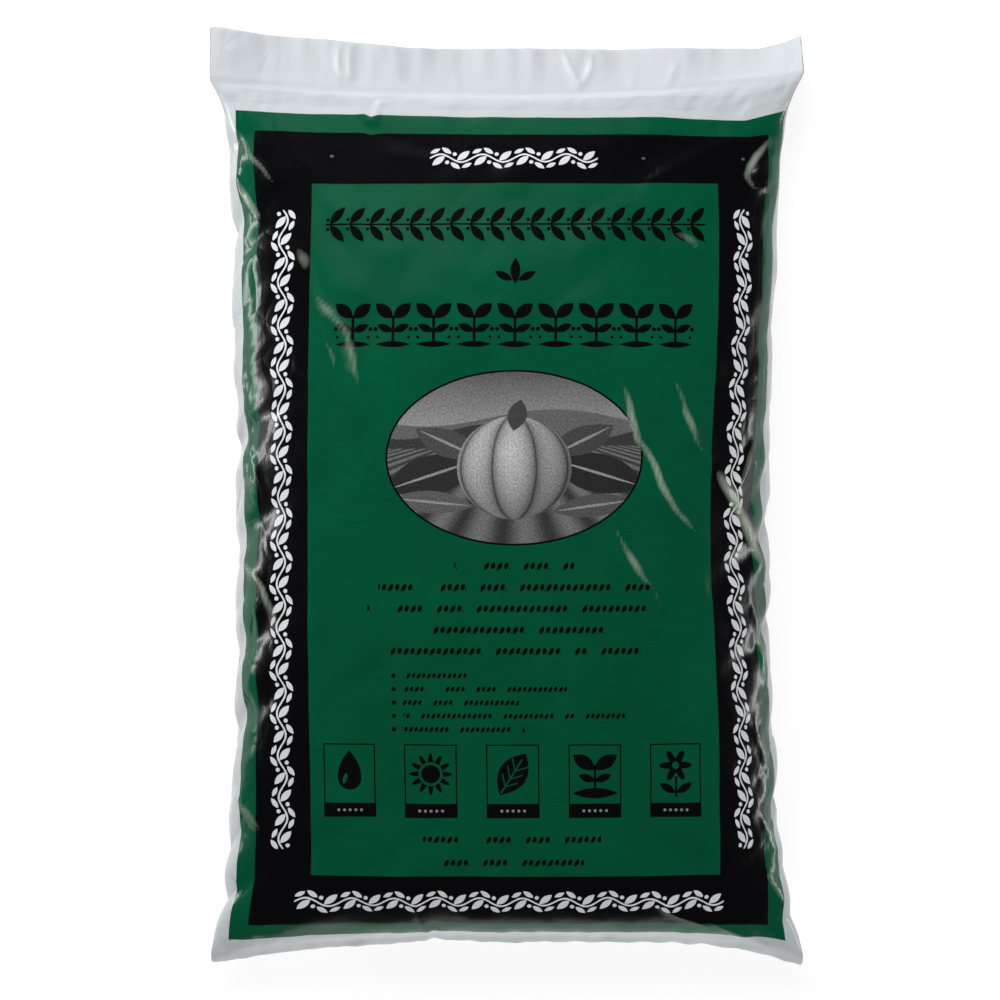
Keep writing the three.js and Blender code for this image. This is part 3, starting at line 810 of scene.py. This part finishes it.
def print_boxes(tree, place, colour):
    """Five framed pictures, a raindrop, the sun, a leaf, a seedling and a flower, and rows of seeds below."""
    row = around(tree, place, (FIELD_MIDDLE - 2, BOX_STATION))
    window = bar(tree, row, (0, 0), (5 * BOX_PITCH, 80))
    cell = repeated(tree, row, BOX_PITCH)
    inner = (BOX_SIZE[0] - 2 * BOX_LINE, BOX_SIZE[1] - 2 * BOX_LINE)
    edge = without(tree, bar(tree, cell, (0, 0), BOX_SIZE), bar(tree, cell, (0, 0), inner))
    caption_middle = (0, (CAPTION - BOX_SIZE[1]) / 2)
    caption = bar(tree, cell, caption_middle, (BOX_SIZE[0], CAPTION))
    masks = [both_of(tree, any_of(tree, [edge, caption]), window)]
    x, y = -2 * BOX_PITCH, CAPTION / 2
    upper = bar(tree, row, (x, y + 7.5), (20, 22))
    tip = both_of(tree, leaf(tree, row, (x, y - 3.5), (42, 18), 90), upper)
    drop = any_of(tree, [tip, spot(tree, row, (x, y - 3.5), (18, 18))])
    masks.append(without(tree, drop, spot(tree, row, (x - 3.4, y - 4), (3, 8), -18)))
    x += BOX_PITCH
    rays = without(tree, petals(tree, row, (x, y), 12, 9, 16), spot(tree, row, (x, y), (18, 18)))
    masks += [rays, spot(tree, row, (x, y), (14, 14))]
    x += BOX_PITCH
    blade = around(tree, row, (x, y), turn=58)
    half = blade[0], folded(tree, blade[1])
    veins = [bar(tree, half, (-2, 0), (30, 1.1))]
    veins += [bar(tree, half, (start, 3.6), (9, 0.9), 42) for start in (-7, 0, 7)]
    masks.append(without(tree, leaf(tree, half, (0, 0), (37, 21)), any_of(tree, veins)))
    x += BOX_PITCH
    plant = around(tree, row, (x, y))
    half = folded(tree, plant[0]), plant[1]
    masks += [bar(tree, half, (0, -4), (2.0, 22)), leaf(tree, half, (0, -14.5), (34, 8)),
              leaf(tree, half, (8, 9), (20, 10), 34), leaf(tree, half, (6, -3), (13, 6), 22)]
    x += BOX_PITCH
    flower = around(tree, row, (x, y))
    half = folded(tree, flower[0]), flower[1]
    head = petals(tree, flower, (0, 6), 6, 5.5, 12.5)
    masks += [without(tree, head, spot(tree, flower, (0, 6), (5.4, 5.4))),
              bar(tree, half, (0, -10), (1.8, 16)), leaf(tree, half, (6.5, -11), (14, 6), 32)]
    masks.append(seed_rows(tree, place, 99, 18, 1.05, [(5, 132), (5, 106)]))
    colour = colour_over(tree, colour, BLACK, any_of(tree, masks))
    dots = spot(tree, repeated(tree, cell, CAPTION_DOT_PITCH), caption_middle, (2.2, 2.2))
    dots = both_of(tree, dots, bar(tree, cell, caption_middle, (5 * CAPTION_DOT_PITCH, 3)))
    return colour_over(tree, colour, CAPTION_DOTS, both_of(tree, dots, window))


def hill(tree, tone, place, crest, grey):
    """A ridge across the picture in one grey; the crest is its height, swing, waves and phase."""
    height, swing, waves, phase = crest
    angle = add(tree, MATH, [place[0], waves, phase], operation="MULTIPLY_ADD")
    wave = add(tree, MATH, [angle], operation="SINE")
    top = add(tree, MATH, [wave, swing, height], operation="MULTIPLY_ADD")
    below = add(tree, MATH, [place[1], top], operation="LESS_THAN")
    return add(tree, "ShaderNodeMix", {0: below, 2: tone, 3: grey})


def print_oval(tree, place, colour):
    """A grey picture in a black rim: a pumpkin and leaves on ploughed land, hills, and a pale sky."""
    middle = (FIELD_MIDDLE, FIELD_HEAD - PANEL_INSET - OVAL_DROP)
    oval = around(tree, place, middle, (OVAL_SIZE[0] / 2, OVAL_SIZE[1] / 2))
    tone = add(tree, "ShaderNodeMapRange", [oval[1], 0.2, 1.0, 0.34, 0.10])
    tone = hill(tree, tone, oval, (0.46, 0.10, 3.1, 0.6), 0.13)
    tone = hill(tree, tone, oval, (0.30, 0.09, 4.3, 2.3), 0.045)
    depth = add(tree, MATH, [0.42, oval[1]], operation="SUBTRACT")
    furrow = add(tree, MATH, [oval[0], depth], operation="DIVIDE")
    furrow = add(tree, MATH, [furrow, 22.0], operation="MULTIPLY")
    furrow = add(tree, MATH, [furrow], operation="SINE")
    soil = add(tree, "ShaderNodeMapRange", [furrow, -1.0, 1.0, 0.04, 0.17])
    tone = hill(tree, tone, oval, (0.12, 0.02, 2.0, 0.0), soil)
    for x, y, length, width, turn, grey in (
        (-0.64, -0.20, 0.86, 0.44, 26, 0.030), (0.66, -0.18, 0.84, 0.44, -24, 0.026),
        (-0.52, 0.16, 0.62, 0.30, -34, 0.075), (0.54, 0.20, 0.60, 0.30, 36, 0.065),
        (-0.64, -0.52, 0.66, 0.26, -8, 0.11), (0.62, -0.56, 0.66, 0.26, 12, 0.09),
    ):
        blade = leaf(tree, oval, (x, y), (length, width), turn)
        vein = leaf(tree, oval, (x, y), (0.9 * length, 0.03), turn)
        tone = add(tree, "ShaderNodeMix", {0: blade, 2: tone, 3: grey})
        tone = add(tree, "ShaderNodeMix", {0: vein, 2: tone, 3: 0.28})
    gourd = around(tree, oval, (0.0, -0.12), (0.45, 0.60))
    square = add(tree, MATH, [gourd[1], gourd[1]], operation="MULTIPLY")
    breadth = add(tree, MATH, [1.02, square], operation="SUBTRACT")
    breadth = add(tree, MATH, [breadth, 0.5], operation="POWER")
    lie = add(tree, MATH, [gourd[0], breadth], operation="DIVIDE")
    lie = add(tree, MATH, [lie], operation="ARCSINE")
    rib = add(tree, MATH, [lie, 4.0], operation="MULTIPLY")
    rib = add(tree, MATH, [rib], operation="COSINE")
    rib = add(tree, MATH, [folded(tree, rib), 0.45], operation="POWER")
    away = round_distance(tree, around(tree, gourd, (-0.25, 0.3)))
    light = add(tree, "ShaderNodeMapRange", [away, 0.0, 1.35, 0.60, 0.15])
    skin = add(tree, MATH, [light, rib], operation="MULTIPLY")
    tone = add(tree, "ShaderNodeMix", {0: spot(tree, gourd, (0, 0), (2, 2)), 2: tone, 3: skin})
    stalk = leaf(tree, gourd, (0.05, 1.02), (0.62, 0.34), 78)
    tone = add(tree, "ShaderNodeMix", {0: stalk, 2: tone, 3: 0.06})
    spread = tree.nodes["film place"].outputs[0]
    speckle = add(tree, "ShaderNodeTexNoise", {"Vector": spread, "Scale": 700.0, "Detail": 4.0})
    speckle = add(tree, "ShaderNodeMapRange", [speckle, 0.3, 0.7, 0.6, 1.25])
    tone = add(tree, MATH, [tone, speckle], operation="MULTIPLY")
    picture = add(tree, "ShaderNodeCombineColor", [tone, tone, tone])
    rim = (OVAL_SIZE[0] + 3, OVAL_SIZE[1] + 3)
    colour = colour_over(tree, colour, BLACK, spot(tree, place, middle, rim))
    return colour_over(tree, colour, picture, spot(tree, place, middle, OVAL_SIZE))


def printed_film(name, print_on):
    """Gloss white polyethylene with the flat fields of ink and one part of the ornaments."""
    stuff = bpy.data.materials.new(name)
    stuff.use_nodes = True
    tree = stuff.node_tree
    shader = tree.nodes["Principled BSDF"]
    film_place = add(tree, "ShaderNodeUVMap", uv_map="film")
    film_place.node.name = "film place"
    u = add(tree, "ShaderNodeSeparateXYZ", [film_place])
    x = add(tree, MATH, [u, 1 / MM], operation="MULTIPLY")
    y = add(tree, MATH, [u.node.outputs[1], 1 / MM], operation="MULTIPLY")
    x_in = folded(tree, add(tree, MATH, [x, -FIELD_MIDDLE], operation="ADD"))
    y_in = folded(tree, add(tree, MATH, [y, -FIELD_CENTRE], operation="ADD"))
    x_in = add(tree, MATH, [(FIELD_RIGHT - FIELD_LEFT) / 2, x_in], operation="SUBTRACT")
    y_in = add(tree, MATH, [(FIELD_HEAD - FIELD_FOOT) / 2, y_in], operation="SUBTRACT")
    inset = add(tree, MATH, [x_in, y_in], operation="MINIMUM")

    # The ink lies a little unevenly, and the compost shows through where the white film lies on it. A darker
    # strip in wisps just below the top seal is painted shade. The sizes of the patterns are in metres of
    # film, as the map is.
    uneven = add(tree, "ShaderNodeTexNoise", {"Vector": film_place, "Scale": 16.0, "Detail": 3.0})
    streaks = add(tree, "ShaderNodeMapping", {0: film_place, 3: (0.025, 0.0011, 1)}, vector_type="TEXTURE")
    plate = add(tree, "ShaderNodeTexNoise", {"Vector": streaks, "Scale": 1.0, "Detail": 1.0})
    ink_share = add(tree, MATH, [plate, 0.5, uneven], operation="MULTIPLY_ADD")
    ink_share = add(tree, "ShaderNodeMapRange", [ink_share, 0.5, 1.0, 0.0, 1.0])
    green = add(tree, "ShaderNodeMix", {0: ink_share, 6: linear(GREEN_THIN), 7: linear(GREEN_FULL)}, out=2,
                data_type="RGBA")
    filled_part = bar(tree, (x, y), (0, BODY_FILM / 2), (4 * FILM_WIDTH, BODY_FILM - 6))
    colour = colour_over(tree, linear(FILM_WHITE), FILM_OVER_FILL, filled_part)
    shade_below_seal = bar(tree, (x, y), (0, BODY_FILM - 9), (4 * FILM_WIDTH, 13))
    shade_wisps = add(tree, "ShaderNodeMapping", {0: film_place, 2: (0, 0, 0.25), 3: (0.045, 0.009, 1)},
                vector_type="TEXTURE")
    shade_wisps = add(tree, "ShaderNodeTexNoise", {"Vector": shade_wisps, "Scale": 1.0, "Detail": 2.0})
    shade_wisps = add(tree, "ShaderNodeMapRange", [shade_wisps, 0.35, 0.65, 0.1, 1.0])
    colour = colour_over(tree, colour, SEAL_STRIP_SHADE, both_of(tree, shade_below_seal, shade_wisps))
    for width, ink in ((0, green), (FIELD_BAND, BLACK), (PANEL_INSET, green)):
        colour = colour_over(tree, colour, ink, add(tree, MATH, [inset, float(width)], operation="GREATER_THAN"))
    if print_on:
        colour = print_on(tree, (x, y), colour)

    # A painted highlight, paler in patches, along each fold and on the broad marks.
    fold_glint = add(tree, "ShaderNodeAttribute", out=2, attribute_name="painted_highlight")
    patches = add(tree, "ShaderNodeTexNoise", {"Vector": film_place, "Scale": 30.0, "Detail": 4.0,
                                               "Distortion": 0.3})
    patches = add(tree, "ShaderNodeMapRange", [patches, 0.36, 0.64, 0.72, 1.2])
    pale = add(tree, MATH, [fold_glint, patches], operation="MULTIPLY")
    pale = add(tree, "ShaderNodeMapRange", [pale, 0.36, 1.0, 0.0, 0.85])
    colour = colour_over(tree, colour, PAINTED_GLINT_ON_PRINT if print_on else PAINTED_GLINT_ON_WHITE, pale)
    tree.links.new(colour, shader.inputs["Base Color"])

    # The surface is smooth, with slight waves from the blowing and from the grains that press on it.
    gloss = add(tree, "ShaderNodeMapRange", [uneven, 0.3, 0.7, 0.19, 0.26])
    tree.links.new(gloss, shader.inputs["Roughness"])
    grains = add(tree, "ShaderNodeTexNoise", {"Vector": film_place, "Scale": 130.0, "Detail": 2.0})
    long_waves = add(tree, "ShaderNodeMapping", {0: film_place, 3: (0.003, 0.011, 1)}, vector_type="TEXTURE")
    ripples = add(tree, "ShaderNodeTexNoise", {"Vector": long_waves, "Scale": 1.0, "Detail": 2.0})
    relief = add(tree, MATH, [ripples, 0.6, grains], operation="MULTIPLY_ADD")
    bumps = add(tree, "ShaderNodeBump", {"Strength": 0.3, "Distance": 0.0004, "Height": relief})

    # Towards the sides the film is finely creased, in cells of a few centimetres with sharp valleys between.
    stray = add(tree, "ShaderNodeTexNoise", {"Vector": film_place, "Scale": 28.0, "Detail": 2.0}, out=1)
    strayed = add(tree, "ShaderNodeVectorMath", {0: stray, 1: (0.022, 0.022, 0), 2: film_place},
                  operation="MULTIPLY_ADD")
    cells = add(tree, "ShaderNodeMapping", {0: strayed, 3: (0.021, 0.036, 1)}, vector_type="TEXTURE")
    valley = add(tree, "ShaderNodeTexVoronoi", {"Vector": cells, "Scale": 1.0}, feature="DISTANCE_TO_EDGE")
    crease = add(tree, "ShaderNodeMapRange", [valley, 0.0, 0.22, 0.0, 1.0])
    at_left = add(tree, "ShaderNodeMapRange", [x, -145.0, -205.0, 0.05, 0.8])
    at_right = add(tree, "ShaderNodeMapRange", [x, 160.0, 215.0, 0.05, 0.35])
    at_sides = add(tree, MATH, [at_left, at_right], operation="ADD")
    crease = add(tree, MATH, [crease, at_sides], operation="MULTIPLY")
    bumps = add(tree, "ShaderNodeBump",
                {"Strength": 0.45, "Distance": 0.0013, "Height": crease, "Normal": bumps})
    tree.links.new(bumps, shader.inputs["Normal"])
    return stuff


# Each part of the face has its own share of the ornaments: left, right, foot and head end of the part. The
# rest of the face has the border, and the back and both loose ends are plain.
PRINT_CLEAR = 3
PRINT_PARTS = [
    ("film_heading", print_heading, (-140, 155, 455, 582)),
    ("film_oval", print_oval, (-92, 108, 312, 455)),
    ("film_rows", print_rows, (-140, 155, 176, 312)),
    ("film_boxes", print_boxes, (-140, 155, 72, 176)),
]
shaped.materials.clear()
shaped.materials.append(printed_film("film_border", print_border))
part_of = np.zeros(len(shaped.polygons), int)
face_places = film_uv.reshape(-1, 4, 2).mean(axis=1)
for i, (name, draw, (left, right, foot_end, head_end)) in enumerate(PRINT_PARTS):
    shaped.materials.append(printed_film(name, draw))
    inside = (face_places > (left, foot_end)) & (face_places < (right, head_end))
    part_of[inside.all(axis=1)] = i + 1
shaped.materials.append(printed_film("film_plain", None))
past_print = (face_places[:, 1] > FIELD_HEAD + PRINT_CLEAR) | (face_places[:, 1] < 0)
part_of[(face_places[:, 0] > FOLD) | past_print] = len(PRINT_PARTS) + 1
shaped.polygons.foreach_set("material_index", part_of)
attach(bag, "root")
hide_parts("compost_bag")

# The floor: a plain white sheet. It shows white to the camera and keeps a faint shadow of the bag.
bm = bmesh.new()
bmesh.ops.create_grid(bm, x_segments=1, y_segments=1, size=4)
floor_mesh = bpy.data.meshes.new("floor")
bm.to_mesh(floor_mesh)
bm.free()
floor = bpy.data.objects.new("floor", floor_mesh)
bpy.context.scene.collection.objects.link(floor)
paper = bpy.data.materials.new("white_paper_sweep")
paper.use_nodes = True
tree = paper.node_tree
tree.nodes.clear()
rays = tree.nodes.new("ShaderNodeLightPath")
seen = add(tree, MATH, [rays.outputs["Is Camera Ray"], rays.outputs["Is Glossy Ray"]], operation="MAXIMUM")
matt = add(tree, "ShaderNodeBsdfDiffuse", {"Color": linear("#f0f0f0")})
shaded = add(tree, "ShaderNodeBsdfDiffuse", {"Color": linear("#6c6c6c")})
glow = add(tree, "ShaderNodeEmission", {"Color": linear("#ffffff"), "Strength": 0.9})
sheet = add(tree, "ShaderNodeAddShader", {0: shaded, 1: glow})
paper_surface = add(tree, "ShaderNodeMixShader", {0: seen, 1: matt, 2: sheet})
output = tree.nodes.new("ShaderNodeOutputMaterial")
tree.links.new(paper_surface, output.inputs["Surface"])
floor.data.materials.append(paper)
floor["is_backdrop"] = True


# A broad light beyond the header and a fill at the foot give the level, screened so that the gloss doesn't
# mirror them. Two soft boxes stand low at the sides, where only steep film and folds mirror them, and a
# weak one beyond the header gives the black border there a faint sheen.
def soft_box(name, place, size, power, mirrored=True):
    lamp = bpy.data.lights.new(name, "AREA")
    lamp.shape = "RECTANGLE"
    lamp.size, lamp.size_y = size
    lamp.energy = power
    box = bpy.data.objects.new(name, lamp)
    box.location = place
    box.rotation_euler = (-Vector(place)).to_track_quat("-Z", "Y").to_euler()
    box.visible_glossy = mirrored
    bpy.context.scene.collection.objects.link(box)


soft_box("overhead", (-0.4, 1.6, 1.7), (1.4, 0.9), 58, mirrored=False)
soft_box("left_box", (-1.9, 0.4, 0.42), (1.1, 0.22), 12)
soft_box("right_box", (1.9, -0.4, 0.32), (1.1, 0.2), 9)
soft_box("foot_fill", (0.0, -2.2, 0.8), (1.6, 0.4), 24, mirrored=False)
soft_box("head_sheen", (-0.5, 2.1, 1.45), (0.9, 0.14), 0.7)
world = bpy.data.worlds.new("studio")
bpy.context.scene.world = world
world.use_nodes = True
world.node_tree.nodes["Background"].inputs["Color"].default_value = linear("#ffffff")
world.node_tree.nodes["Background"].inputs["Strength"].default_value = 0.02

# The camera looks straight down from the distance that the photograph was taken at.
lens = bpy.data.cameras.new("camera")
lens.sensor_width = 36
lens.lens = 122.6
camera = bpy.data.objects.new("camera", lens)
camera.location = (-0.0053, -0.0034, 2.6)
bpy.context.scene.collection.objects.link(camera)
bpy.context.scene.camera = camera

bpy.context.scene.view_settings.view_transform = "Standard"
bpy.context.view_layer.update()
low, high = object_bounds()
